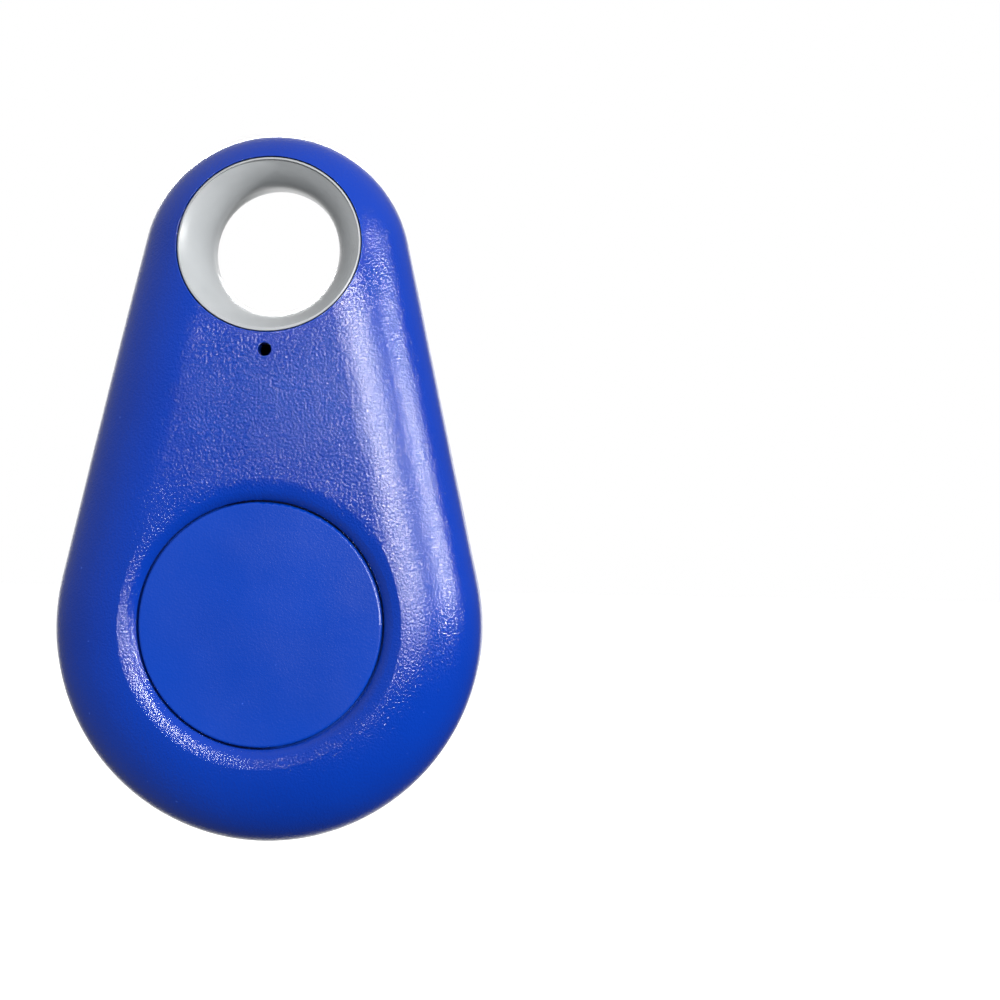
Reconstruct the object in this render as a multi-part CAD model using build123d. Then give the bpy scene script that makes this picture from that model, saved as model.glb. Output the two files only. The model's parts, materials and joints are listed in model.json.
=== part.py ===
"""Key finder tag: a teardrop ABS case with an eyelet for a key ring, a push button in its
front and a coin-slot battery cover in its rear.

Frame, in millimetres: the origin is the centre of the eyelet, where the tag hangs. +X is to
the right seen from the front, +Y runs from the button to the battery cover and +Z is up.
Turn angles about the battery axis are measured from +Z towards +X.
"""

import os
from math import asin, cos, radians, sin, sqrt

from build123d import *

# ---------------------------------------------------------------- driving dimensions

HEAD_RADIUS = 9.9  # rounded end of the teardrop that carries the eyelet
HEAD_Z = -1.3
TAIL_RADIUS = 15.7  # round end that holds the battery and the button
TAIL_Z = -27.8
HALF_THICKNESS = 5.5
EDGE_WIDTH = 6.0  # the faces roll over to the sides along a quarter ellipse this wide
EDGE_DEPTH = 4.6
HEAD_THINNING = 1.0  # how much lower each face is at the top of the head
THINNING_FROM_Z = -18.0
WALL = 1.3

EYELET_HOLE_RADIUS = 4.7
EYELET_LAND = 0.5  # half length of the cylindrical waist of the eyelet
EYELET_LIP = 0.12  # flat edge left between the mouth and the outside of the eyelet
EYELET_MOUTH_DEPTH = 4.42  # distance of each mouth's centre from the middle
EYELET_MOUTH_TILT = 7.6  # degrees; the mouths lean with the thinning head
EYELET_OUTER_WIDTH, EYELET_OUTER_HEIGHT = 13.3, 12.8  # the eyelet is slightly oval outside
EYELET_FLANGE_WIDTH = 0.55
EYELET_FLANGE_HALF = 1.0
EYELET_GAP = 0.1  # between the eyelet and the shells' holes
EYELET_COLLAR = 0.5  # wall of each shell's collar round the eyelet

BUTTON_Z = TAIL_Z + 0.3
BUTTON_RADIUS = 8.8
BUTTON_GAP = 0.15
BUTTON_FACE = -5.0
BUTTON_HOLLOW = 0.22  # how far the face dips in its middle
BUTTON_SHEET = 0.9
BUTTON_FLANGE_RADIUS = 9.6
BUTTON_FLANGE_BACK = -3.5
BUTTON_INNER_RADIUS = 7.8
BUTTON_EDGE_ROLL = 0.18
BUTTON_RIB, BUTTON_POST_RADIUS = 0.6, 1.5
GUIDE_RADIUS, GUIDE_FRONT, GUIDE_BACK = 10.4, -4.3, -3.2  # wall round the button's flange
DISH_RADIUS = 10.6  # shallow dish in the front shell around the button
DISH_ROLL = 4.0  # radius of the dish's slope
SHOULDER_RADIUS = 9.6  # where the dish turns over into the button's hole
DISH_EDGE = -4.92

COVER_RADIUS = 11.9
COVER_GAP = 0.15
COVER_FACE = 5.0
COVER_SEAT = 3.7
COVER_UNDER = 3.75
COVER_EDGE_ROLL = 0.2
SKIRT_INNER, SKIRT_OUTER, SKIRT_FRONT = 10.3, 11.0, 2.05
LUG_RADIUS, LUG_BACK, LUG_ARC = 11.85, 2.8, 18.0
LUG_COUNT = 3
STOP_INNER, STOP_ARC = 11.2, 3.0  # blocks that end each lug's travel
COVER_TURN = 26.5  # degrees from the locked mark to the open mark
LOCKED_MARK = -35.0  # turn angle of the locked mark
COIN_SLOT_WIDTH, COIN_SLOT_LENGTH, COIN_SLOT_DEPTH = 2.15, 12.2, 1.1
COIN_BOSS_MARGIN, COIN_BOSS_FRONT = 1.0, 3.2  # thickening under the coin slot
MARK_DEPTH = 0.22
DOT_RADIUS = 0.42
DOT_DRAFT = 0.35
ARROW_LENGTH, ARROW_HEAD_LENGTH, ARROW_SHAFT, ARROW_HEAD = 4.0, 1.0, 0.7, 1.75
SHELL_DOTS, ARROW_CENTRE, COVER_DOT = 14.0, 13.9, 10.3  # radii from the tail axis

BAY_INNER, BAY_CHANNEL, BAY_OUTER = 10.25, 12.15, 12.95
BAY_COLLAR = 10.95
DECK_FRONT, DECK_BACK, DECK_RADIUS = 0.9, 1.7, 14.6
LEDGE_FRONT, LEDGE_INNER = 2.9, 11.15
CONTACT_WINDOW_WIDTH, CONTACT_WINDOW_HEIGHT, CONTACT_WINDOW_RADIUS = 5.2, 1.6, 10.7

RABBET_DEPTH, TONGUE_HEIGHT, TONGUE_CLEARANCE = 0.85, 0.8, 0.06
SEAM_HALF, SEAM_DEPTH = 0.09, 0.14  # shadow line where the two shells meet

BOARD_FRONT, BOARD_BACK = -1.6, -0.8
BOARD_INSET = 2.0
BOARD_NECK_CUT = 7.85  # radius that clears the eyelet
BOARD_TOP = -5.5
POST_SPREAD, POST_RADIUS, POST_FRONT = 8.7, 0.9, -4.2
PIN_RADIUS, PIN_HOLE_RADIUS, STAKE_RADIUS, STAKE_HEIGHT = 0.5, 0.6, 0.85, 0.35
TRACK_HEIGHT = 0.05
PAD_RADIUS, PAD_Z = 0.55, -36.6
CHIP_Z, CHIP_LENGTH, CHIP_WIDTH, CHIP_FRONT = -21.7, 9.9, 3.9, -3.05
CHIP_PITCH, LEAD_WIDTH, LEAD_SHEET, LEAD_TOP = 1.27, 0.4, 0.15, -2.35
CRYSTAL_X, CRYSTAL_Z, CRYSTAL_LENGTH, CRYSTAL_WIDTH, CRYSTAL_HEIGHT = -6.3, -28.4, 3.2, 2.5, 0.75
CAPACITOR_PLACES = (  # x, z and whether it stands upright
    (-6.3, -25.6, False), (-6.3, -31.2, False), (6.2, -25.4, True), (4.3, -27.2, True),
    (4.3, -29.0, True), (-2.6, -33.4, False), (0.0, -33.4, False), (-6.6, -22.0, True),
)
RESISTOR_PLACES = (
    (2.6, -33.4, False), (6.2, -28.2, True), (6.2, -30.8, True),
    (-6.6, -12.0, False), (-6.8, -17.3, False), (2.2, -8.9, True),
)
TRANSISTOR_X, TRANSISTOR_Z, TRANSISTOR_PITCH = -7.0, -14.6, 0.95
LED_Z, LED_BASE_HEIGHT, LED_HEIGHT = -8.6, 0.25, 0.6

CELL_RADIUS, CELL_FRONT, CELL_BACK = 10.0, -0.2, 3.0
CELL_SHEET = 0.25
CAP_RADIUS, CRIMP_RADIUS = 8.6, 9.0
CONTACT_SHEET, CLIP_SHEET = 0.15, 0.2
SOUND_HOLE_RADIUS, SOUND_HOLE_Z, SOUND_HOLE_BACK = 0.5, -7.75, -3.2

BUZZER_Z, BUZZER_RADIUS, BUZZER_FRONT = -13.15, 3.8, -3.9
BUZZER_WALL, BUZZER_PORT_RADIUS, BUZZER_DISC_RADIUS = 0.4, 0.9, 3.35
POLE_RADIUS, COIL_RADIUS, MAGNET_BORE = 0.8, 2.6, 2.8
SWITCH_HALF, SWITCH_BODY_FRONT, SWITCH_FRAME_FRONT = 2.25, -2.8, -3.0
PLUNGER_FRONT, PLUNGER_RADIUS, PLUNGER_COLLAR_RADIUS = -3.5, 0.92, 1.4
DOME_SPHERE, DOME_SHEET, DOME_RADIUS, DOME_FRONT, DOME_BACK = 2.9, 0.08, 1.6, -2.5, -2.0

FAR = 60.0  # beyond every surface
SHARED = 0.1  # how far joined pieces of one solid reach into each other

# ---------------------------------------------------------------- drawing helpers

TAIL_AXIS = Axis((0, 0, TAIL_Z), (0, 1, 0))
TAIL_SECTION = Plane(origin=(0, 0, TAIL_Z), x_dir=(0, 0, 1), z_dir=(-1, 0, 0))


def rod(x, z, radius, front, back):
    """A cylinder along Y."""
    return Pos(x, (front + back) / 2, z) * Rot(90, 0, 0) * Cylinder(radius, back - front)


def oval_rod(margin, front, back):
    """An oval cylinder along Y, margin millimetres larger than the outside of the eyelet."""
    width, height = EYELET_OUTER_WIDTH / 2 + margin, EYELET_OUTER_HEIGHT / 2 + margin
    middle = Plane(origin=(0, (front + back) / 2, 0), x_dir=(1, 0, 0), z_dir=(0, 1, 0))
    return extrude(middle * Ellipse(width, height), (back - front) / 2, both=True)


def tube(x, z, outer, inner, front, back):
    """A hollow cylinder along Y."""
    return rod(x, z, outer, front, back) - rod(x, z, inner, front - 1, back + 1)


def block(x, z, width, height, front, back):
    """A box centred on x and z, from front to back along Y."""
    return Pos(x, (front + back) / 2, z) * Box(width, back - front, height)


def turned(*points):
    """A solid of revolution about the tail axis from (radius, y) corners."""
    return revolve(TAIL_SECTION * make_face(Polyline(*points, close=True)), TAIL_AXIS)


def sector(inner, outer, front, back, start, arc):
    """A curved block about the tail axis that begins at the turn angle start."""
    corners = [(inner, front), (outer, front), (outer, back), (inner, back)]
    face = TAIL_SECTION * make_face(Polyline(*corners, close=True))
    return revolve(face, TAIL_AXIS, revolution_arc=arc).rotate(TAIL_AXIS, start)


def on_tail(radius, turn):
    """(x, z) at a radius and turn angle about the tail axis."""
    return radius * sin(radians(turn)), TAIL_Z + radius * cos(radians(turn))


def strip(points, thickness, width):
    """A bent sheet-metal strip from (z, y) points of its middle line, centred on x = 0."""
    half = thickness / 2
    outline = [(z, y - half) for z, y in points] + [(z, y + half) for z, y in reversed(points)]
    side = Plane(origin=(0, 0, 0), x_dir=(0, 0, 1), z_dir=(-1, 0, 0))
    return extrude(side * make_face(Polyline(*outline, close=True)), width / 2, both=True)


def loose(*solids):
    """Separate solids kept side by side in one node."""
    return Compound(children=[s.solid() for s in solids])


# ---------------------------------------------------------------- the case's shape


def teardrop(inset):
    """The outline: two round ends joined by tangent lines, drawn inset millimetres inside."""
    head, tail = HEAD_RADIUS - inset, TAIL_RADIUS - inset
    lean = asin((TAIL_RADIUS - HEAD_RADIUS) / (HEAD_Z - TAIL_Z))
    head_x, head_z = head * cos(lean), HEAD_Z + head * sin(lean)
    tail_x, tail_z = tail * cos(lean), TAIL_Z + tail * sin(lean)
    edges = [
        ThreePointArc((-head_x, head_z), (0, HEAD_Z + head), (head_x, head_z)),
        Line((head_x, head_z), (tail_x, tail_z)),
        ThreePointArc((tail_x, tail_z), (0, TAIL_Z - tail), (-tail_x, tail_z)),
        Line((-tail_x, tail_z), (-head_x, head_z)),
    ]
    return Plane.XZ * make_face(edges)


def slab(inset, front, back):
    """The teardrop as a straight-sided plate."""
    plate = extrude(teardrop(inset), FAR, both=True)
    return plate & block(0, 0, 2 * FAR, 2 * FAR, front, back)


def thinned_profile(half, thinning, side):
    """One half of the side view, whose face bows in towards the top of the head."""
    top = HEAD_Z + HEAD_RADIUS
    rise = top - THINNING_FROM_Z
    bow = (rise**2 + thinning**2) / (2 * thinning)
    past = 3.0
    reach = asin((rise + past) / bow)
    middle = asin((rise + past) / bow / 2)
    centre = half - bow

    def on_bow(angle):
        return side * (centre + bow * cos(angle)), THINNING_FROM_Z + bow * sin(angle)

    edges = [
        Line((0, -FAR), (side * half, -FAR)),
        Line((side * half, -FAR), (side * half, THINNING_FROM_Z)),
        ThreePointArc((side * half, THINNING_FROM_Z), on_bow(middle), on_bow(reach)),
        Line(on_bow(reach), (0, on_bow(reach)[1])),
        Line((0, on_bow(reach)[1]), (0, -FAR)),
    ]
    return Plane.YZ * make_face(edges)


def pillow(inset):
    """The full rounded body. It is filleted round, then flattened to give elliptical edges."""
    width, depth = EDGE_WIDTH - inset, EDGE_DEPTH - inset
    flatten = depth / width
    half = (HALF_THICKNESS - inset) / flatten
    thinning = HEAD_THINNING / flatten
    side_view = thinned_profile(half, thinning, 1) + thinned_profile(half, thinning, -1)
    body = extrude(teardrop(inset), half, both=True) & extrude(side_view, FAR, both=True)

    def on_rim(edge):
        crosses_face = edge.geom_type == GeomType.LINE and abs(edge.tangent_at(0.5).X) > 0.999
        return abs(edge.center().Y) > half / 2 and not crosses_face

    rounded = fillet(body.edges().filter_by(on_rim), width * 0.999)
    return scale(rounded, by=(1, flatten, 1))


def half_shell(outer, inner, side):
    """The wall of one half, with the collar that holds the eyelet."""
    front, back = (-FAR, 0) if side < 0 else (0, FAR)
    half = block(0, 0, 2 * FAR, 2 * FAR, front, back)
    wall = (outer - inner) & half
    ends = sorted((side * (EYELET_FLANGE_HALF + EYELET_GAP), side * (HALF_THICKNESS + 1)))
    collar = oval_rod(EYELET_GAP + EYELET_COLLAR, *ends) & outer
    return wall + collar - oval_rod(EYELET_GAP, -FAR, FAR)


# ---------------------------------------------------------------- case pieces


def front_shell(outer, inner):
    shell = half_shell(outer, inner, -1)
    hole = BUTTON_RADIUS + BUTTON_GAP
    shell -= Pos(0, 0, BUTTON_Z - TAIL_Z) * dish_cutter(hole)
    shell -= rod(0, BUTTON_Z, hole, -FAR, 0)
    # guide wall round the button's flange
    shell += tube(0, BUTTON_Z, GUIDE_RADIUS, BUTTON_FLANGE_RADIUS + BUTTON_GAP, GUIDE_FRONT, GUIDE_BACK)
    for x in (-POST_SPREAD, POST_SPREAD):
        for z in (TAIL_Z - POST_SPREAD, TAIL_Z + POST_SPREAD):
            shell += rod(x, z, POST_RADIUS, POST_FRONT, BOARD_FRONT)
            # heat-staked pin with its melted head
            shell += rod(x, z, PIN_RADIUS, BOARD_FRONT - SHARED, BOARD_BACK + SHARED)
            shell += rod(x, z, STAKE_RADIUS, BOARD_BACK, BOARD_BACK + STAKE_HEIGHT)
    shell -= rod(0, SOUND_HOLE_Z, SOUND_HOLE_RADIUS, -FAR, SOUND_HOLE_BACK)
    # rabbet for the rear shell's tongue, and half of the shadow line between the shells
    shell -= slab(WALL / 2, -RABBET_DEPTH, 1) - slab(WALL + 4 * SHARED, -1, 1)
    shell -= slab(-1, -SEAM_HALF, 1) - slab(SEAM_DEPTH, -1, 1)
    return shell


def dish_cutter(hole):
    """Sinks the dish: a gentle slope, then a rounded shoulder down to the button's hole."""
    slope = asin((DISH_RADIUS - SHOULDER_RADIUS) / DISH_ROLL)

    def on_slope(angle):
        return DISH_RADIUS - DISH_ROLL * sin(angle), -HALF_THICKNESS + DISH_ROLL * (1 - cos(angle))

    above = -HALF_THICKNESS - 1
    brow, shoulder, lip = (DISH_RADIUS, -HALF_THICKNESS), on_slope(slope), (hole, DISH_EDGE)
    edges = [
        ThreePointArc(brow, on_slope(slope / 2), shoulder),
        TangentArc(shoulder, lip, tangent=(-cos(slope), sin(slope))),
        Line(lip, (0, DISH_EDGE)),
        Line((0, DISH_EDGE), (0, above)),
        Line((0, above), (DISH_RADIUS, above)),
        Line((DISH_RADIUS, above), brow),
    ]
    return revolve(TAIL_SECTION * make_face(edges), TAIL_AXIS)


def arrow(length, head_length, shaft, head):
    """A flat arrow along +x, centred on its middle."""
    half, neck = length / 2, length / 2 - head_length
    above = [(-half, shaft / 2), (neck, shaft / 2), (neck, head / 2), (half, 0)]
    below = [(x, -y) for x, y in reversed(above[:-1])]
    return make_face(Polyline(*above, *below, close=True))


def arrow_cutter(turn):
    """Sinks the arrow into the rear face of the case, pointing the way the cover locks."""
    x, z = on_tail(ARROW_CENTRE, turn)
    direction = (-cos(radians(turn)), 0, sin(radians(turn)))
    plane = Plane(origin=(x, HALF_THICKNESS - MARK_DEPTH, z), x_dir=direction, z_dir=(0, 1, 0))
    return extrude(plane * arrow(ARROW_LENGTH, ARROW_HEAD_LENGTH, ARROW_SHAFT, ARROW_HEAD), 2)


def dot_cutter(radius, turn, face):
    """Sinks a round mark with drafted sides into a face at y = face."""
    x, z = on_tail(radius, turn)
    tall = 2.0
    draft = Cone(DOT_RADIUS - DOT_DRAFT / 7, DOT_RADIUS + DOT_DRAFT * 6 / 7, tall)
    return Pos(x, face - MARK_DEPTH + tall / 2, z) * Rot(-90, 0, 0) * draft


def rear_shell(outer, inner):
    shell = half_shell(outer, inner, 1)
    locked, opened = LOCKED_MARK, LOCKED_MARK + COVER_TURN
    marks = [dot_cutter(SHELL_DOTS, turn, HALF_THICKNESS) for turn in (locked, opened)]
    shell -= [*marks, arrow_cutter((locked + opened) / 2)]
    wall_inner = BAY_CHANNEL - SHARED
    wall = [(wall_inner, DECK_FRONT), (BAY_OUTER, DECK_FRONT), (BAY_OUTER, FAR), (wall_inner, FAR)]
    bay = turned(*wall)
    bay += tube(0, TAIL_Z, DECK_RADIUS, BAY_INNER, DECK_FRONT, DECK_BACK)
    bay += tube(0, TAIL_Z, BAY_OUTER, LEDGE_INNER, LEDGE_FRONT, COVER_SEAT)
    bay += tube(0, TAIL_Z, BAY_COLLAR, BAY_INNER, BOARD_BACK + SHARED / 2, DECK_BACK)
    shell += bay & outer
    shell -= rod(0, TAIL_Z, COVER_RADIUS + COVER_GAP, COVER_SEAT, FAR)
    shell -= rod(0, TAIL_Z, LEDGE_INNER, LEDGE_FRONT, FAR)
    shell -= rod(0, TAIL_Z, BAY_CHANNEL, DECK_BACK, LEDGE_FRONT)
    shell -= recess_rounding()
    for lug in range(LUG_COUNT):
        first = LOCKED_MARK + lug * 360 / LUG_COUNT
        before = first - LUG_ARC / 2 - STOP_ARC - 1
        after = first + COVER_TURN + LUG_ARC / 2 + 1
        for start in (before, after):
            shell += sector(STOP_INNER, BAY_CHANNEL + SHARED, DECK_BACK, LEDGE_FRONT, start, STOP_ARC)
        # way in for the lug, through the ledge
        near, far = LEDGE_INNER - 2 * SHARED, BAY_CHANNEL - SHARED / 2
        start = first + COVER_TURN - LUG_ARC / 2 - 2
        shell -= sector(near, far, LEDGE_FRONT - SHARED, COVER_SEAT + SHARED, start, LUG_ARC + 3)
    # window for the positive contact
    window = (CONTACT_WINDOW_WIDTH, CONTACT_WINDOW_HEIGHT, -1, DECK_BACK + SHARED)
    shell -= block(0, TAIL_Z + CONTACT_WINDOW_RADIUS, *window)
    # tongue that fits inside the front shell's rabbet, and the shadow line
    shell += slab(WALL / 2 + TONGUE_CLEARANCE, -TONGUE_HEIGHT, 2 * SHARED) - slab(WALL, -1, 1)
    shell -= slab(-1, -1, SEAM_HALF) - slab(SEAM_DEPTH, -2, 1)
    return shell


def recess_rounding():
    """Rolls the edge of the cover's recess over, where the case stands above the cover."""
    start, roll = COVER_RADIUS + COVER_GAP, HALF_THICKNESS - COVER_FACE
    middle = (start + roll * (1 - cos(radians(45))), COVER_FACE + roll * sin(radians(45)))
    above = HALF_THICKNESS + 1
    edges = [
        ThreePointArc((start, COVER_FACE), middle, (start + roll, HALF_THICKNESS)),
        Line((start + roll, HALF_THICKNESS), (start + roll, above)),
        Line((start + roll, above), (start - 1, above)),
        Line((start - 1, above), (start - 1, COVER_FACE)),
        Line((start - 1, COVER_FACE), (start, COVER_FACE)),
    ]
    return revolve(TAIL_SECTION * make_face(edges), TAIL_AXIS)


def eyelet_ring(outer):
    below_face = 0.975  # the ends sit just below the case's faces
    ring = oval_rod(0, -HALF_THICKNESS, HALF_THICKNESS) & scale(outer, by=(1, below_face, 1))
    ring += oval_rod(EYELET_FLANGE_WIDTH, -EYELET_FLANGE_HALF, EYELET_FLANGE_HALF)
    ring -= rod(0, 0, EYELET_HOLE_RADIUS, -FAR, FAR)
    run = EYELET_MOUTH_DEPTH - EYELET_LAND
    for side in (-1, 1):
        sections = []
        for share in (0.0, 0.35, 0.7, 1.0):
            depth = run * share
            tilt = radians(EYELET_MOUTH_TILT) * share
            plane = Plane(
                origin=(0, side * (EYELET_LAND + depth), 0),
                x_dir=(1, 0, 0),
                z_dir=(0, side * cos(tilt), sin(tilt)),
            )
            half_width = flared(EYELET_OUTER_WIDTH / 2 - EYELET_LIP, run, depth)
            half_height = flared(EYELET_OUTER_HEIGHT / 2 - EYELET_LIP, run, depth)
            sections.append(plane * Ellipse(half_width, half_height))
        ring -= loft(sections)
        ring -= extrude(sections[-1], 1.5)
    return ring


def flared(mouth, run, depth):
    """Half width of the eyelet's bore at a depth outward of its waist, along a circular arc."""
    rise = mouth - EYELET_HOLE_RADIUS
    flare = (run**2 + rise**2) / (2 * rise)
    return EYELET_HOLE_RADIUS + flare - sqrt(flare**2 - depth**2)


def button_cap():
    """Dished cap with a retaining flange and a post that reaches the switch."""
    under = BUTTON_FACE + BUTTON_SHEET
    cap = rod(0, BUTTON_Z, BUTTON_RADIUS, BUTTON_FACE, under)
    cap = fillet([e for e in cap.edges() if abs(e.center().Y - BUTTON_FACE) < 0.01], BUTTON_EDGE_ROLL)
    ball = (BUTTON_RADIUS**2 + BUTTON_HOLLOW**2) / (2 * BUTTON_HOLLOW)
    cap -= Pos(0, BUTTON_FACE + BUTTON_HOLLOW - ball, BUTTON_Z) * Sphere(ball)
    cap += tube(0, BUTTON_Z, BUTTON_FLANGE_RADIUS, BUTTON_INNER_RADIUS, under, BUTTON_FLANGE_BACK)
    cap += tube(0, BUTTON_Z, BUTTON_RADIUS, BUTTON_INNER_RADIUS, under - 3 * SHARED, under + SHARED)
    rib_length = 2 * (BUTTON_INNER_RADIUS + SHARED)
    for turn in (45, 135):
        rib = block(0, 0, BUTTON_RIB, rib_length, under - SHARED, BUTTON_FLANGE_BACK - 0.15)
        cap += Pos(0, 0, BUTTON_Z) * rib.rotate(Axis.Y, turn)
    return cap + rod(0, BUTTON_Z, BUTTON_POST_RADIUS, under - SHARED, PLUNGER_FRONT)


def battery_cover():
    cover = rod(0, TAIL_Z, COVER_RADIUS, COVER_UNDER, COVER_FACE)
    rim = [e for e in cover.edges() if abs(e.center().Y - COVER_FACE) < 0.01]
    cover = fillet(rim, COVER_EDGE_ROLL)
    cover += tube(0, TAIL_Z, SKIRT_OUTER, SKIRT_INNER, SKIRT_FRONT, COVER_UNDER + SHARED)
    boss_width = COIN_SLOT_WIDTH + 2 * COIN_BOSS_MARGIN
    boss_length = COIN_SLOT_LENGTH + COIN_BOSS_MARGIN
    cover += block(0, TAIL_Z, boss_width, boss_length, COIN_BOSS_FRONT, COVER_UNDER + SHARED)
    coin = (COIN_SLOT_LENGTH**2 / 4 + COIN_SLOT_DEPTH**2) / (2 * COIN_SLOT_DEPTH)
    cutter = Pos(0, COVER_FACE - COIN_SLOT_DEPTH + coin, TAIL_Z) * Rot(0, 90, 0)
    cover -= cutter * Cylinder(coin, COIN_SLOT_WIDTH)
    for lug in range(LUG_COUNT):
        start = LOCKED_MARK + lug * 360 / LUG_COUNT - LUG_ARC / 2
        cover += sector(SKIRT_OUTER - 2 * SHARED, LUG_RADIUS, SKIRT_FRONT, LUG_BACK, start, LUG_ARC)
    return cover - dot_cutter(COVER_DOT, LOCKED_MARK, COVER_FACE)


# ---------------------------------------------------------------- circuit board and its parts


def circuit_board():
    board = slab(BOARD_INSET, BOARD_FRONT, BOARD_BACK)
    board -= rod(0, 0, BOARD_NECK_CUT, -FAR, FAR)
    board -= block(0, BOARD_TOP + FAR / 2, FAR, FAR, -FAR, FAR)
    for x in (-POST_SPREAD, POST_SPREAD):
        for z in (TAIL_Z - POST_SPREAD, TAIL_Z + POST_SPREAD):
            board -= rod(x, z, PIN_HOLE_RADIUS, -FAR, FAR)
    return board


def antenna_trace():
    """Meandered copper track in the neck, beside the buzzer."""
    left, right, width, pitch = 5.4, 8.8, 0.35, 0.95
    front = BOARD_FRONT - TRACK_HEIGHT
    turns = 8
    top = -9.4
    trace = None
    for turn in range(turns):
        z = top - turn * pitch
        run = block((left + right) / 2, z, right - left, width, front, BOARD_FRONT)
        trace = run if trace is None else trace + run
        if turn < turns - 1:
            x = right - width / 2 if turn % 2 == 0 else left + width / 2
            trace += block(x, z - pitch / 2, width, pitch, front, BOARD_FRONT)
    return trace


def test_pads():
    places = (-3.0, -1.0, 1.0, 3.0)
    pads = [rod(x, PAD_Z, PAD_RADIUS, BOARD_FRONT - TRACK_HEIGHT, BOARD_FRONT) for x in places]
    return loose(*pads)


def radio_chip():
    """Chip body with the dimple that marks its first lead."""
    body = block(0, CHIP_Z, CHIP_LENGTH, CHIP_WIDTH, CHIP_FRONT, BOARD_FRONT - 0.15)
    return body - rod(-4.1, CHIP_Z - 1.1, 0.35, CHIP_FRONT - 1, CHIP_FRONT + 0.08)


def radio_chip_pins():
    """Sixteen gull-wing leads, eight on each long side."""
    pins = []
    for side in (-1, 1):
        near, knee, tip = (CHIP_Z + side * (CHIP_WIDTH / 2 + out) for out in (0, 0.45, 1.05))
        for place in range(8):
            x = (place - 3.5) * CHIP_PITCH
            arm = block(x, (near + knee) / 2, LEAD_WIDTH, abs(knee - near), LEAD_TOP, LEAD_TOP + LEAD_SHEET)
            leg = block(x, knee, LEAD_WIDTH, LEAD_SHEET, LEAD_TOP, BOARD_FRONT)
            foot_length = abs(tip - knee)
            foot = block(x, (knee + tip) / 2, LEAD_WIDTH, foot_length, BOARD_FRONT - LEAD_SHEET, BOARD_FRONT)
            pins.append(arm + leg + foot)
    return loose(*pins)


def chips(places, length, width, height):
    """Small two-ended parts standing on the board, at (x, z, upright) places."""
    bodies = []
    for x, z, upright in places:
        size = (width, length) if upright else (length, width)
        bodies.append(block(x, z, *size, BOARD_FRONT - height, BOARD_FRONT))
    return loose(*bodies)


def crystal_can():
    front = BOARD_FRONT - CRYSTAL_HEIGHT
    can = block(CRYSTAL_X, CRYSTAL_Z, CRYSTAL_LENGTH, CRYSTAL_WIDTH, front, BOARD_FRONT)
    return fillet(can.edges().filter_by(Axis.Y), 0.4)


def driver_transistor():
    return block(TRANSISTOR_X, TRANSISTOR_Z, 2.9, 1.3, BOARD_FRONT - 1.0, BOARD_FRONT - 0.1)


def transistor_pins():
    pins = []
    for place, side in ((-1, -1), (1, -1), (0, 1)):
        x = TRANSISTOR_X + place * TRANSISTOR_PITCH
        z = TRANSISTOR_Z + side * TRANSISTOR_PITCH
        pins.append(block(x, z, LEAD_WIDTH, 0.6, BOARD_FRONT - LEAD_SHEET, BOARD_FRONT))
    return loose(*pins)


def led_base():
    return block(0, LED_Z, 1.6, 0.8, BOARD_FRONT - LED_BASE_HEIGHT, BOARD_FRONT)


def led_lens():
    front = BOARD_FRONT - LED_HEIGHT
    lens = block(0, LED_Z, 1.1, 0.76, front, BOARD_FRONT - LED_BASE_HEIGHT)
    return fillet([e for e in lens.edges() if abs(e.center().Y - front) < 0.01], 0.12)


# ---------------------------------------------------------------- buzzer


def buzzer_case():
    shell = rod(0, BUZZER_Z, BUZZER_RADIUS, BUZZER_FRONT, BOARD_FRONT)
    shell = fillet([e for e in shell.edges() if abs(e.center().Y - BUZZER_FRONT) < 0.01], 0.2)
    shell -= rod(0, BUZZER_Z, BUZZER_RADIUS - BUZZER_WALL, BUZZER_FRONT + 0.3, 0)
    return shell - rod(0, BUZZER_Z, BUZZER_PORT_RADIUS, -FAR, 0)


def buzzer_yoke():
    """Steel base plate with the pole that the coil sits on."""
    plate = rod(0, BUZZER_Z, BUZZER_DISC_RADIUS, -1.95, -1.65)
    return plate + rod(0, BUZZER_Z, POLE_RADIUS, -2.9, -1.9)


def buzzer_magnet():
    return tube(0, BUZZER_Z, BUZZER_DISC_RADIUS, MAGNET_BORE, -2.85, -1.98)


def buzzer_coil():
    return tube(0, BUZZER_Z, COIL_RADIUS, POLE_RADIUS + 0.05, -2.8, -1.99)


def buzzer_diaphragm():
    """Thin steel disc with the mass at its centre."""
    return rod(0, BUZZER_Z, BUZZER_DISC_RADIUS, -3.15, -3.07) + rod(0, BUZZER_Z, 1.2, -3.3, -3.1)


# ---------------------------------------------------------------- push switch


def switch_base():
    base = block(0, BUTTON_Z, 2 * SWITCH_HALF, 2 * SWITCH_HALF, SWITCH_BODY_FRONT, BOARD_FRONT)
    return base - rod(0, BUTTON_Z, DOME_RADIUS + 0.15, -FAR, DOME_BACK + 0.05)


def switch_frame():
    """Steel plate that closes the switch, with two legs down its sides."""
    sheet = SWITCH_BODY_FRONT - SWITCH_FRAME_FRONT
    plate = block(0, BUTTON_Z, 2 * SWITCH_HALF, 2 * SWITCH_HALF, SWITCH_FRAME_FRONT, SWITCH_BODY_FRONT)
    plate -= rod(0, BUTTON_Z, PLUNGER_RADIUS + 0.08, -FAR, 0)
    for side in (-1, 1):
        x = side * (SWITCH_HALF + sheet / 2)
        plate += block(x, BUTTON_Z, sheet, 1.6, SWITCH_FRAME_FRONT, BOARD_FRONT)
    return plate


def switch_dome():
    """Snap dome under the plunger, a thin spherical cap."""
    centre = Pos(0, DOME_FRONT + DOME_SPHERE, BUTTON_Z)
    bowl = centre * Sphere(DOME_SPHERE) - centre * Sphere(DOME_SPHERE - DOME_SHEET)
    return bowl & rod(0, BUTTON_Z, DOME_RADIUS, SWITCH_FRAME_FRONT, DOME_BACK)


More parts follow.
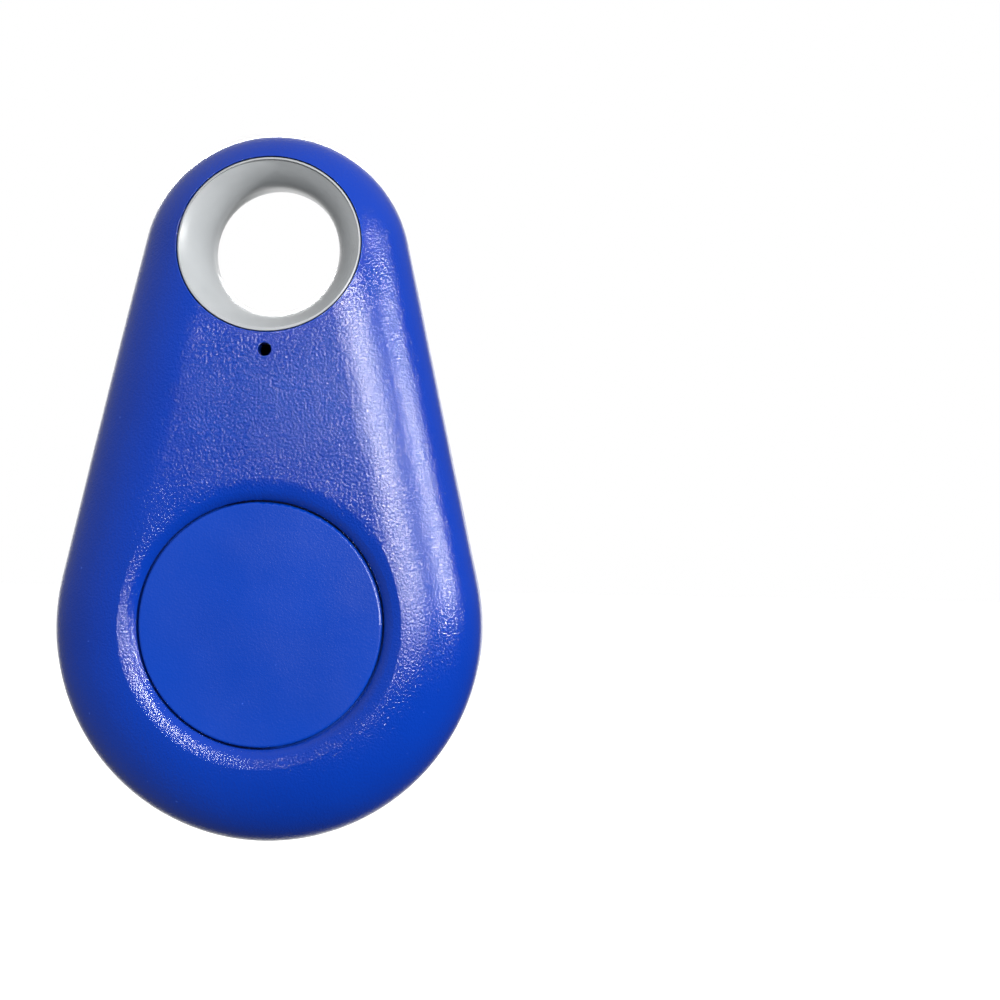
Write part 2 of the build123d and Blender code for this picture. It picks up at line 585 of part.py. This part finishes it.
def switch_plunger():
    """Plunger with the collar that keeps it under the frame."""
    stem = rod(0, BUTTON_Z, PLUNGER_RADIUS, PLUNGER_FRONT, DOME_FRONT)
    return stem + rod(0, BUTTON_Z, PLUNGER_COLLAR_RADIUS, SWITCH_BODY_FRONT + 0.02, DOME_FRONT - 0.05)


# ---------------------------------------------------------------- battery and its contacts


def cell_can():
    """Positive can: a cup whose rim is crimped over the gasket."""
    can = rod(0, TAIL_Z, CELL_RADIUS, CELL_FRONT + 0.15, CELL_BACK)
    can = fillet([e for e in can.edges() if e.center().Y > CELL_BACK - 0.01], 0.3)
    can -= rod(0, TAIL_Z, CELL_RADIUS - CELL_SHEET, 0.15, CELL_BACK - CELL_SHEET)
    return can - rod(0, TAIL_Z, CRIMP_RADIUS, -1, 1)


def cell_cap():
    """Negative cap, nested in the can behind the gasket."""
    cap = rod(0, TAIL_Z, CAP_RADIUS, CELL_FRONT, 1.4)
    cap -= rod(0, TAIL_Z, CAP_RADIUS - CELL_SHEET, CELL_FRONT + CELL_SHEET, 2)
    return fillet([e for e in cap.edges() if e.center().Y < CELL_FRONT + 0.01], 0.12)


def cell_gasket():
    """Seal between can and cap, with the lip that shows round the cap."""
    bore = CAP_RADIUS + 0.03
    gasket = tube(0, TAIL_Z, CELL_RADIUS - CELL_SHEET - 0.03, bore, 0.18, 1.9)
    return gasket + tube(0, TAIL_Z, CRIMP_RADIUS - 0.03, bore, CELL_FRONT + 0.16, 0.3)


def cell_anode():
    return rod(0, TAIL_Z, CAP_RADIUS - CELL_SHEET - 0.05, 0.07, 1.4)


def cell_separator():
    return rod(0, TAIL_Z, CAP_RADIUS - 0.05, 1.45, 1.9)


def cell_cathode():
    return rod(0, TAIL_Z, CELL_RADIUS - CELL_SHEET - 0.35, 1.95, CELL_BACK - CELL_SHEET - 0.03)


def negative_contact():
    """Leaf soldered to the board that springs up to the middle of the cell."""
    foot = BOARD_BACK + CONTACT_SHEET / 2
    points = [(-3.6, foot), (-0.9, foot), (2.0, CELL_FRONT - 0.1), (3.0, CELL_FRONT - 0.32)]
    return strip([(TAIL_Z + z, y) for z, y in points], CONTACT_SHEET, 2.4)


def positive_contact():
    """Upright clip that presses on the side of the cell, with its soldered foot."""
    near = TAIL_Z + CELL_RADIUS + 0.35
    width, foot = 4.0, 1.8
    clip = block(0, near + CLIP_SHEET / 2, width, CLIP_SHEET, BOARD_BACK, 1.6)
    clip += block(0, near + foot / 2, width, foot, BOARD_BACK, BOARD_BACK + CLIP_SHEET)
    bump = Pos(0, 0.95, near) * Rot(0, 90, 0) * Cylinder(0.32, 2.4)
    return clip + bump


# ---------------------------------------------------------------- build

OUTER = pillow(0)
INNER = pillow(WALL)

NODES = {
    "front_shell": front_shell(OUTER, INNER),
    "rear_shell": rear_shell(OUTER, INNER),
    "eyelet_ring": eyelet_ring(OUTER),
    "button_cap": button_cap(),
    "battery_cover": battery_cover(),
    "circuit_board": circuit_board(),
    "antenna_trace": antenna_trace(),
    "test_pads": test_pads(),
    "radio_chip": radio_chip(),
    "radio_chip_pins": radio_chip_pins(),
    "ceramic_capacitors": chips(CAPACITOR_PLACES, 1.0, 0.5, 0.5),
    "chip_resistors": chips(RESISTOR_PLACES, 1.0, 0.5, 0.35),
    "crystal_can": crystal_can(),
    "driver_transistor": driver_transistor(),
    "transistor_pins": transistor_pins(),
    "led_base": led_base(),
    "led_lens": led_lens(),
    "buzzer_case": buzzer_case(),
    "buzzer_yoke": buzzer_yoke(),
    "buzzer_magnet": buzzer_magnet(),
    "buzzer_coil": buzzer_coil(),
    "buzzer_diaphragm": buzzer_diaphragm(),
    "switch_base": switch_base(),
    "switch_frame": switch_frame(),
    "switch_dome": switch_dome(),
    "switch_plunger": switch_plunger(),
    "negative_contact": negative_contact(),
    "positive_contact": positive_contact(),
    "cell_can": cell_can(),
    "cell_cap": cell_cap(),
    "cell_gasket": cell_gasket(),
    "cell_anode": cell_anode(),
    "cell_separator": cell_separator(),
    "cell_cathode": cell_cathode(),
}

os.makedirs("parts", exist_ok=True)
for name, shape in NODES.items():
    export_step(shape, f"parts/{name}.step")
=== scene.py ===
import json
from math import cos, pi, radians, sin

import bpy
from mathutils import Matrix, Vector


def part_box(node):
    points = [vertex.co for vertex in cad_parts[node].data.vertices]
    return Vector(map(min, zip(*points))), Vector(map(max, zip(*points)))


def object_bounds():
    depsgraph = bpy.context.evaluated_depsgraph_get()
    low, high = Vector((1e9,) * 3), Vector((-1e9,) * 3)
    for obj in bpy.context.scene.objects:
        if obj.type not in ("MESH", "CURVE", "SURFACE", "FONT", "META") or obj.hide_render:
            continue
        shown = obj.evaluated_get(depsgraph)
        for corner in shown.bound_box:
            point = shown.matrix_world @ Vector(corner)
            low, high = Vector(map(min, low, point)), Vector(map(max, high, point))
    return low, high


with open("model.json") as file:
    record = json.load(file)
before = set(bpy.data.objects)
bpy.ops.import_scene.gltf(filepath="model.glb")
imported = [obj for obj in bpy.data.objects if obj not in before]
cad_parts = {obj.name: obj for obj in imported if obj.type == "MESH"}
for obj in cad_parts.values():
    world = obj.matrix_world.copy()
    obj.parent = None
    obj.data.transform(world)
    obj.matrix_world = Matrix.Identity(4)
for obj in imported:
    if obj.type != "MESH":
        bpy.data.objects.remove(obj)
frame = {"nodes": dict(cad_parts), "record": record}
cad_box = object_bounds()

MM = 0.001
scene = bpy.context.scene
WHITE = (1, 1, 1, 1)

# ------------------------------------------------------------------ camera

# The tag is seen from the front, from a little to its right and level with its button's upper half.
BUTTON_LOW, BUTTON_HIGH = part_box("button_cap")
BUTTON_CENTRE = (BUTTON_LOW + BUTTON_HIGH) / 2
CAMERA_DISTANCE = 142.2 * MM
CAMERA_RIGHT = 22.6 * MM
CAMERA_ABOVE_BUTTON = 5.74 * MM
LOOK_LEFT, LOOK_UP, LEAN = 2.31, 1.45, -0.99  # degrees
LENS, SENSOR = 69.3, 36  # mm


def make_camera():
    data = bpy.data.cameras.new("camera")
    data.sensor_width = SENSOR
    data.lens = LENS
    data.clip_start = MM
    camera = bpy.data.objects.new("camera", data)
    scene.collection.objects.link(camera)
    turn = Matrix.Rotation(radians(LOOK_LEFT), 4, "Z")
    tip = Matrix.Rotation(radians(LOOK_UP), 4, "X")
    lean = Matrix.Rotation(radians(LEAN), 4, "Y")
    upright = Matrix.Rotation(radians(90), 4, "X")
    height = BUTTON_CENTRE.z + CAMERA_ABOVE_BUTTON
    place = Matrix.Translation((CAMERA_RIGHT, -CAMERA_DISTANCE, height))
    camera.matrix_world = place @ turn @ tip @ lean @ upright
    scene.camera = camera


# ------------------------------------------------------------------ node helpers


def linear(hex_colour):
    """An sRGB hex colour as linear RGBA."""
    channels = [int(hex_colour[i:i + 2], 16) / 255 for i in (1, 3, 5)]
    bent = [c / 12.92 if c <= 0.04045 else ((c + 0.055) / 1.055) ** 2.4 for c in channels]
    return (*bent, 1.0)


def add(tree, kind, inputs=None, **settings):
    """Adds a node with its settings. Each input is a value, or an output socket to link from."""
    node = tree.nodes.new(kind)
    for name, value in settings.items():
        setattr(node, name, value)
    for name, value in (inputs or {}).items():
        if isinstance(value, bpy.types.NodeSocket):
            tree.links.new(value, node.inputs[name])
        else:
            node.inputs[name].default_value = value
    return node


def per_mm(size_mm):
    """The texture scale that gives features of this size, in a model measured in metres."""
    return 1 / (size_mm * MM)


def material_of(name, metallic=0.0, ior=None):
    """A new material: (material, tree, Principled shader, position on the part)."""
    material = bpy.data.materials.new(name)
    material.use_nodes = True
    tree = material.node_tree
    shader = tree.nodes["Principled BSDF"]
    shader.inputs["Metallic"].default_value = metallic
    if ior:
        shader.inputs["IOR"].default_value = ior
    place = add(tree, "ShaderNodeTexCoord").outputs["Object"]
    return material, tree, shader, place


NOISE_LOW, NOISE_HIGH = 0.35, 0.65  # nearly all of a noise texture lies between these


def cloud(tree, place, size_mm, low=0.0, high=1.0, detail=3.0):
    """Soft patches of a size, from low to high."""
    noise = add(tree, "ShaderNodeTexNoise", {"Vector": place, "Scale": per_mm(size_mm), "Detail": detail})
    limits = {"Value": noise.outputs["Fac"], "From Min": NOISE_LOW, "From Max": NOISE_HIGH,
              "To Min": low, "To Max": high}
    return add(tree, "ShaderNodeMapRange", limits).outputs["Result"]


def blend_colour(tree, share, first, second):
    """Mixes two colours, each a hex colour or a socket."""
    mix = add(tree, "ShaderNodeMix", data_type="RGBA")
    tree.links.new(share, mix.inputs["Factor"])
    for socket, colour in ((mix.inputs[6], first), (mix.inputs[7], second)):
        if isinstance(colour, str):
            socket.default_value = linear(colour)
        else:
            tree.links.new(colour, socket)
    return mix.outputs[2]


def raise_grain(tree, shader, height, depth_mm, under=None):
    """Bumps the surface by a height texture."""
    inputs = {"Height": height, "Strength": 1.0, "Distance": depth_mm * MM}
    if under:
        inputs["Normal"] = under
    bump = add(tree, "ShaderNodeBump", inputs)
    tree.links.new(bump.outputs["Normal"], shader.inputs["Normal"])


FLAT, CORNER = 0.995, 0.85  # how well the softened normal agrees with the true one, as a cosine


def rubbed_edges(tree, place, width_mm):
    """(share, normal): share is highest on rubbed sharp edges, broken up so that the wear is
    patchy, and normal is the surface's with its edges softened over that width."""
    rounded = add(tree, "ShaderNodeBevel", {"Radius": width_mm * MM}, samples=3).outputs["Normal"]
    true = add(tree, "ShaderNodeNewGeometry").outputs["Normal"]
    along = add(tree, "ShaderNodeVectorMath", {0: rounded, 1: true}, operation="DOT_PRODUCT")
    limits = {"Value": along.outputs["Value"], "From Min": FLAT, "From Max": CORNER}
    edge = add(tree, "ShaderNodeMapRange", limits).outputs["Result"]
    patches = cloud(tree, place, 2.5, 0.1, 0.8)
    share = add(tree, "ShaderNodeMath", {0: edge, 1: patches}, operation="MULTIPLY", use_clamp=True)
    return share.outputs["Value"], rounded


# ------------------------------------------------------------------ the outside: blue and grey ABS

CASE_BLUE = ("#003098", "#0034A0")
BUTTON_BLUE = ("#0037A0", "#003BA8")
RUBBED_BLUE = "#4068D8"


def moulded_blue_abs(name, first, second, grain_mm, depth_mm, roughness):
    """Blue ABS moulded in a spark-eroded tool: rounded pits that break its soft highlights into
    bright and dark grains, with a slow drift in gloss, edges rubbed paler by keys and pockets, and
    a few pale specks where grit has nicked the skin. Real pits are about 0.08 mm across, and
    they are drawn about twice that, so that they show."""
    material, tree, shader, place = material_of(name, ior=1.53)
    worn, rounded = rubbed_edges(tree, place, width_mm=0.09)
    body = blend_colour(tree, cloud(tree, place, 12), first, second)
    nick_seed = add(tree, "ShaderNodeTexNoise", {"Vector": place, "Scale": per_mm(0.45), "Detail": 1.0})
    rare = {"Value": nick_seed.outputs["Fac"], "From Min": 0.79, "From Max": 0.82, "To Max": 0.5}
    nicks = add(tree, "ShaderNodeMapRange", rare).outputs["Result"]
    marked = add(tree, "ShaderNodeMath", {0: worn, 1: nicks}, operation="MAXIMUM").outputs["Value"]
    tree.links.new(blend_colour(tree, marked, body, RUBBED_BLUE), shader.inputs["Base Color"])
    pits = add(tree, "ShaderNodeTexNoise", {"Vector": place, "Scale": per_mm(grain_mm), "Detail": 2.0,
                                            "Roughness": 0.6, "Lacunarity": 2.3})
    raise_grain(tree, shader, pits.outputs["Fac"], depth_mm, rounded)
    drift = 0.03
    gloss = cloud(tree, place, 5, roughness - drift, roughness + drift, detail=4.0)
    tree.links.new(gloss, shader.inputs["Roughness"])
    return material


def satin_grey_abs():
    """Light grey ABS moulded in a polished tool: an even satin sheen with a trace of flow."""
    material, tree, shader, place = material_of("satin_moulded_grey_abs", ior=1.53)
    worn, rounded = rubbed_edges(tree, place, width_mm=0.07)
    body = blend_colour(tree, cloud(tree, place, 4), "#A1A4A6", "#A9ACAE")
    colour = blend_colour(tree, worn, body, "#D4D6D8")
    tree.links.new(colour, shader.inputs["Base Color"])
    tooth = add(tree, "ShaderNodeTexNoise", {"Vector": place, "Scale": per_mm(0.25), "Detail": 3.0})
    raise_grain(tree, shader, tooth.outputs["Fac"], depth_mm=0.002, under=rounded)
    tree.links.new(cloud(tree, place, 3, 0.30, 0.38), shader.inputs["Roughness"])
    return material


# ------------------------------------------------------------------ the inside


def grained(name, first, second, patch_mm, grain_mm, depth_mm, roughness, metallic=0.0, ior=None):
    """The common build of the small inner finishes: two close tones in patches, a fine grain, and
    a gloss that drifts with the patches. Grains under 0.05 mm are drawn that coarse, so they show."""
    material, tree, shader, place = material_of(name, metallic, ior)
    worn, rounded = rubbed_edges(tree, place, width_mm=0.03)
    body = blend_colour(tree, cloud(tree, place, patch_mm), first, second)
    colour = blend_colour(tree, worn, body, second)
    tree.links.new(colour, shader.inputs["Base Color"])
    fine = add(tree, "ShaderNodeTexNoise", {"Vector": place, "Scale": per_mm(grain_mm), "Detail": 3.0})
    raise_grain(tree, shader, fine.outputs["Fac"], depth_mm, rounded)
    drift = 0.06
    gloss = cloud(tree, place, patch_mm / 2, roughness - drift, roughness + drift)
    tree.links.new(gloss, shader.inputs["Roughness"])
    return material


def solder_masked_laminate():
    """Green solder mask over woven glass: glossy lacquer that dips a little between the yarns."""
    material, tree, shader, place = material_of("solder_masked_glass_laminate", ior=1.5)
    body = blend_colour(tree, cloud(tree, place, 3), "#0B4A2A", "#0E5631")
    tree.links.new(body, shader.inputs["Base Color"])
    yarn = {"Vector": place, "Scale": per_mm(0.5) / pi, "Distortion": 0.4}
    warp = add(tree, "ShaderNodeTexWave", yarn, bands_direction="X").outputs["Fac"]
    weft = add(tree, "ShaderNodeTexWave", yarn, bands_direction="Z").outputs["Fac"]
    weave = add(tree, "ShaderNodeMath", {0: warp, 1: weft}, operation="ADD").outputs["Value"]
    raise_grain(tree, shader, weave, depth_mm=0.004)
    tree.links.new(cloud(tree, place, 2, 0.18, 0.3), shader.inputs["Roughness"])
    shader.inputs["Coat Weight"].default_value = 0.4
    return material


def enamelled_copper_winding():
    """Copper wire of 0.05 mm in a clear enamel, wound in flat layers: fine bright hoops. The
    hoops are drawn at 0.1 mm, twice the wire's own pitch, so that they show."""
    material, tree, shader, place = material_of("enamelled_copper_winding", metallic=1.0)
    body = blend_colour(tree, cloud(tree, place, 1), "#B4602C", "#D2803F")
    tree.links.new(body, shader.inputs["Base Color"])
    hoops = add(tree, "ShaderNodeTexWave", {"Vector": place, "Scale": per_mm(0.1) / pi}, bands_direction="Y")
    raise_grain(tree, shader, hoops.outputs["Fac"], depth_mm=0.02)
    tree.links.new(cloud(tree, place, 0.8, 0.22, 0.36), shader.inputs["Roughness"])
    shader.inputs["Coat Weight"].default_value = 0.6
    return material


def drawn_steel(name, first, second, roughness, line_mm):
    """Rolled and drawn bright steel: fine lines along X left by the rolls, over a metal's sheen.
    The lines are drawn several times as coarse as real ones, so that they show."""
    material, tree, shader, place = material_of(name, metallic=1.0)
    worn, rounded = rubbed_edges(tree, place, width_mm=0.05)
    body = blend_colour(tree, cloud(tree, place, 4), first, second)
    colour = blend_colour(tree, worn, body, "#E6E6E2")
    tree.links.new(colour, shader.inputs["Base Color"])
    long_way = add(tree, "ShaderNodeMapping", {"Vector": place, "Scale": (0.04, 1.0, 1.0)})
    lines = {"Vector": long_way.outputs["Vector"], "Scale": per_mm(line_mm), "Detail": 4.0}
    rolled = add(tree, "ShaderNodeTexNoise", lines).outputs["Fac"]
    raise_grain(tree, shader, rolled, depth_mm=0.003, under=rounded)
    drift = 0.08
    limits = {"Value": rolled, "From Min": 0.3, "From Max": 0.7,
              "To Min": roughness - drift, "To Max": roughness + drift}
    gloss = add(tree, "ShaderNodeMapRange", limits).outputs["Result"]
    tree.links.new(gloss, shader.inputs["Roughness"])
    shader.inputs["Anisotropic"].default_value = 0.4
    return material


def felted_separator():
    """Non-woven polypropylene felt: matt white fibres that lie every way, drawn thicker than the
    real 0.02 mm, so that they show."""
    material, tree, shader, place = material_of("felted_polypropylene", ior=1.49)
    body = blend_colour(tree, cloud(tree, place, 1.5), "#E6E6E0", "#F4F4F0")
    tree.links.new(body, shader.inputs["Base Color"])
    fibres = {"Vector": place, "Scale": per_mm(0.12), "Detail": 6.0, "Distortion": 3.0}
    mat = add(tree, "ShaderNodeTexNoise", fibres).outputs["Fac"]
    raise_grain(tree, shader, mat, depth_mm=0.03)
    tree.links.new(cloud(tree, place, 1, 0.8, 0.95), shader.inputs["Roughness"])
    shader.inputs["Sheen Weight"].default_value = 0.3
    return material


def yellow_phosphor_epoxy():
    """Clear epoxy over yellow phosphor: a glossy drop with the powder's grain under it."""
    material, tree, shader, place = material_of("cast_epoxy_over_phosphor", ior=1.54)
    body = blend_colour(tree, cloud(tree, place, 0.15), "#E8D66A", "#F4EBA6")
    tree.links.new(body, shader.inputs["Base Color"])
    skin = add(tree, "ShaderNodeTexNoise", {"Vector": place, "Scale": per_mm(0.4)}).outputs["Fac"]
    raise_grain(tree, shader, skin, depth_mm=0.003)
    tree.links.new(cloud(tree, place, 0.5, 0.06, 0.14), shader.inputs["Roughness"])
    shader.inputs["Coat Weight"].default_value = 1.0
    return material


def make_finishes():
    """One material for each material slot of the record."""
    return {
        "case": moulded_blue_abs(
            "spark_textured_blue_abs", *CASE_BLUE, grain_mm=0.17, depth_mm=0.038, roughness=0.15),
        "cover": moulded_blue_abs(
            "coarse_textured_blue_abs", *CASE_BLUE, grain_mm=0.21, depth_mm=0.038, roughness=0.17),
        "button": moulded_blue_abs(
            "fine_textured_blue_abs", *BUTTON_BLUE, grain_mm=0.15, depth_mm=0.012, roughness=0.24),
        "eyelet": satin_grey_abs(),
        "laminate": solder_masked_laminate(),
        # nickel under a thin flash of gold: warm, bright and slightly grainy
        "gold_pads": grained(
            "gold_flashed_copper", "#D8A848", "#E6BC62",
            patch_mm=0.8, grain_mm=0.08, depth_mm=0.003, roughness=0.26, metallic=1.0),
        # transfer-moulded epoxy: flat black with a matt, sandy skin
        "chip_epoxy": grained(
            "transfer_moulded_black_epoxy", "#141416", "#1E1E20",
            patch_mm=1.2, grain_mm=0.06, depth_mm=0.006, roughness=0.62, ior=1.55),
        # matt tin plate: pale, soft and a little frosted
        "tinned_leads": grained(
            "matt_tin_plated_copper", "#B8BABC", "#CCCED0",
            patch_mm=0.5, grain_mm=0.06, depth_mm=0.003, roughness=0.38, metallic=1.0),
        # barium titanate fired at over 1000 degrees: tan, close-grained and dull
        "capacitor_ceramic": grained(
            "fired_tan_ceramic", "#8C6A4A", "#A07C58",
            patch_mm=0.4, grain_mm=0.05, depth_mm=0.004, roughness=0.5, ior=1.6),
        # glass glaze over alumina: black, smooth and shiny
        "resistor_body": grained(
            "black_glazed_alumina", "#0C0C0E", "#1A1A1C",
            patch_mm=0.4, grain_mm=0.2, depth_mm=0.003, roughness=0.16, ior=1.52),
        # seam-welded nickel-plated lid: bright, with fine roll lines
        "crystal_lid": drawn_steel(
            "nickel_plated_lid", "#B4B2AA", "#C6C4BC", roughness=0.25, line_mm=0.1),
        # white filled nylon: chalky and bright
        "led_housing": grained(
            "moulded_white_nylon", "#DCDAD2", "#E8E6E0",
            patch_mm=0.6, grain_mm=0.08, depth_mm=0.004, roughness=0.5, ior=1.53),
        "led_epoxy": yellow_phosphor_epoxy(),
        # glass-filled liquid-crystal polymer: dark, with paler patches where the melt ran
        "buzzer_housing": grained(
            "moulded_black_crystal_polymer", "#111113", "#222226",
            patch_mm=2.0, grain_mm=0.1, depth_mm=0.006, roughness=0.42, ior=1.6),
        "buzzer_steel": drawn_steel(
            "turned_soft_iron", "#8C8C8C", "#A2A2A0", roughness=0.32, line_mm=0.08),
        # pressed and sintered ferrite: charcoal grey and granular, like fine emery
        "ferrite": grained(
            "sintered_ferrite", "#1C1C1F", "#2A2A2E",
            patch_mm=0.8, grain_mm=0.07, depth_mm=0.01, roughness=0.55, ior=2.0),
        "winding": enamelled_copper_winding(),
        # nylon with a slight moulded sheen
        "switch_housing": grained(
            "moulded_black_nylon", "#121214", "#1C1C1E",
            patch_mm=1.0, grain_mm=0.08, depth_mm=0.004, roughness=0.42, ior=1.53),
        "switch_steel": drawn_steel(
            "stamped_stainless_steel", "#A8A8A4", "#BCBCB8", roughness=0.28, line_mm=0.1),
        "contact_steel": drawn_steel(
            "nickel_plated_spring_steel", "#B4B0A8", "#C8C4BA", roughness=0.24, line_mm=0.12),
        "cell_steel": drawn_steel(
            "drawn_stainless_steel", "#B0B0AE", "#C4C4C2", roughness=0.26, line_mm=0.15),
        # polypropylene ring: dark, waxy and soft-edged
        "gasket": grained(
            "moulded_dark_polypropylene", "#161618", "#242426",
            patch_mm=1.0, grain_mm=0.1, depth_mm=0.003, roughness=0.45, ior=1.49),
        # soft grey metal foil, dulled by pressing
        "lithium": grained(
            "pressed_lithium_foil", "#8E8E8C", "#A4A4A0",
            patch_mm=2.0, grain_mm=0.2, depth_mm=0.006, roughness=0.5, metallic=1.0),
        "separator": felted_separator(),
        # black powder pellet: dead matt and crumbly
        "cathode": grained(
            "pressed_manganese_dioxide", "#0E0E0E", "#1A1918",
            patch_mm=0.8, grain_mm=0.09, depth_mm=0.02, roughness=0.88, ior=1.5),
    }


def finish_nodes():
    finishes = make_finishes()
    slots = {row["node"]: row["material_slot"] for row in frame["record"]["subparts"]}
    for name, node in frame["nodes"].items():
        for holder in node.material_slots:
            holder.material = finishes[slots[name]]


# ------------------------------------------------------------------ studio


def softbox(name, azimuth, elevation, roll, width, height, brightness, distance=0.5):
    """A lamp that faces the tag. Azimuth 0 is in front of it and 90 to its right, and roll turns
    its right end down. Its power follows from its area, so that its brightness doesn't."""
    az, el = radians(azimuth), radians(elevation)
    away = Vector((sin(az) * cos(el), -cos(az) * cos(el), sin(el)))
    data = bpy.data.lights.new(name, "AREA")
    data.shape = "RECTANGLE"
    data.size, data.size_y = width, height
    data.energy = brightness * width * height * pi
    lamp = bpy.data.objects.new(name, data)
    scene.collection.objects.link(lamp)
    middle = (cad_box[0] + cad_box[1]) / 2
    facing = away.to_track_quat("Z", "Y").to_matrix().to_4x4()
    slant = Matrix.Rotation(radians(-roll), 4, "Z")
    lamp.matrix_world = Matrix.Translation(middle + away * distance) @ facing @ slant


def make_studio():
    """A slanting strip lamp and a small square one at the right draw the two streaks down the
    tag's right shoulder. A weak wide one lights the rear."""
    scene.view_settings.view_transform = "Standard"
    softbox("key_strip", azimuth=16.5, elevation=11.5, roll=16, width=0.13, height=0.05, brightness=120)
    softbox("side_strip", azimuth=64, elevation=13, roll=22, width=0.05, height=0.05, brightness=230)
    softbox("rear_strip", azimuth=190, elevation=20, roll=0, width=0.16, height=0.10, brightness=18)
    make_tent()
    make_floor()


def make_tent():
    """The eye sees plain white all round. What lights the tag is a tent that is dim in front, below
    and at the right, and brighter above, at the left and behind on the left."""
    dimmest = 0.08
    world = bpy.data.worlds.new("studio_tent")
    scene.world = world
    world.use_nodes = True
    tree = world.node_tree
    tree.nodes.clear()
    place = add(tree, "ShaderNodeTexCoord").outputs["Generated"]
    axes = add(tree, "ShaderNodeSeparateXYZ", {"Vector": place})

    def ramp(axis, start, end, gain):
        """Light that grows to gain as the direction's share along an axis goes from start to end."""
        limits = {"Value": axes.outputs[axis], "From Min": start, "From Max": end, "To Max": gain}
        return add(tree, "ShaderNodeMapRange", limits, interpolation_type="SMOOTHSTEP").outputs["Result"]

    behind = {0: ramp("Y", 0.7, 0.98, 1.8), 1: ramp("X", 0.4, -0.1, 1.0)}
    glow = add(tree, "ShaderNodeMath", behind, operation="MULTIPLY").outputs["Value"]
    level = add(tree, "ShaderNodeMath", {0: glow, 1: dimmest}, operation="ADD").outputs["Value"]
    for part in (ramp("Z", -0.3, 0.95, 0.35), ramp("X", 0.0, -0.9, 0.15)):
        level = add(tree, "ShaderNodeMath", {0: part, 1: level}, operation="ADD").outputs["Value"]
    tent = add(tree, "ShaderNodeBackground", {"Color": WHITE, "Strength": level})
    backdrop = add(tree, "ShaderNodeBackground", {"Color": WHITE, "Strength": 1.0})
    seen = add(tree, "ShaderNodeLightPath").outputs["Is Camera Ray"]
    mix = add(tree, "ShaderNodeMixShader", {0: seen, 1: tent.outputs[0], 2: backdrop.outputs[0]})
    add(tree, "ShaderNodeOutputWorld", {"Surface": mix.outputs["Shader"]})


def matt_white_card():
    """Coated white card: almost flat, with a faint tooth that keeps it from looking like glass."""
    material, tree, shader, place = material_of("matt_white_card", ior=1.5)
    colour = blend_colour(tree, cloud(tree, place, 40), "#F4F4F4", "#F8F8F8")
    tree.links.new(colour, shader.inputs["Base Color"])
    tooth = add(tree, "ShaderNodeTexNoise", {"Vector": place, "Scale": per_mm(0.5)})
    raise_grain(tree, shader, tooth.outputs["Fac"], depth_mm=0.01)
    shader.inputs["Roughness"].default_value = 0.9
    shader.inputs["Emission Color"].default_value = WHITE
    shader.inputs["Emission Strength"].default_value = 0.6
    return material


def make_floor():
    """The tag hangs clear of the floor, which neither lights it nor shows in its gloss."""
    half = 1.5
    drop = 16 * MM
    level = cad_box[0].z - drop
    mesh = bpy.data.meshes.new("floor")
    corners = [(-half, -half, level), (half, -half, level), (half, half, level), (-half, half, level)]
    mesh.from_pydata(corners, [], [(0, 1, 2, 3)])
    mesh.materials.append(matt_white_card())
    floor = bpy.data.objects.new("floor", mesh)
    scene.collection.objects.link(floor)
    floor.visible_glossy = False
    floor.visible_diffuse = False


make_camera()
finish_nodes()
make_studio()
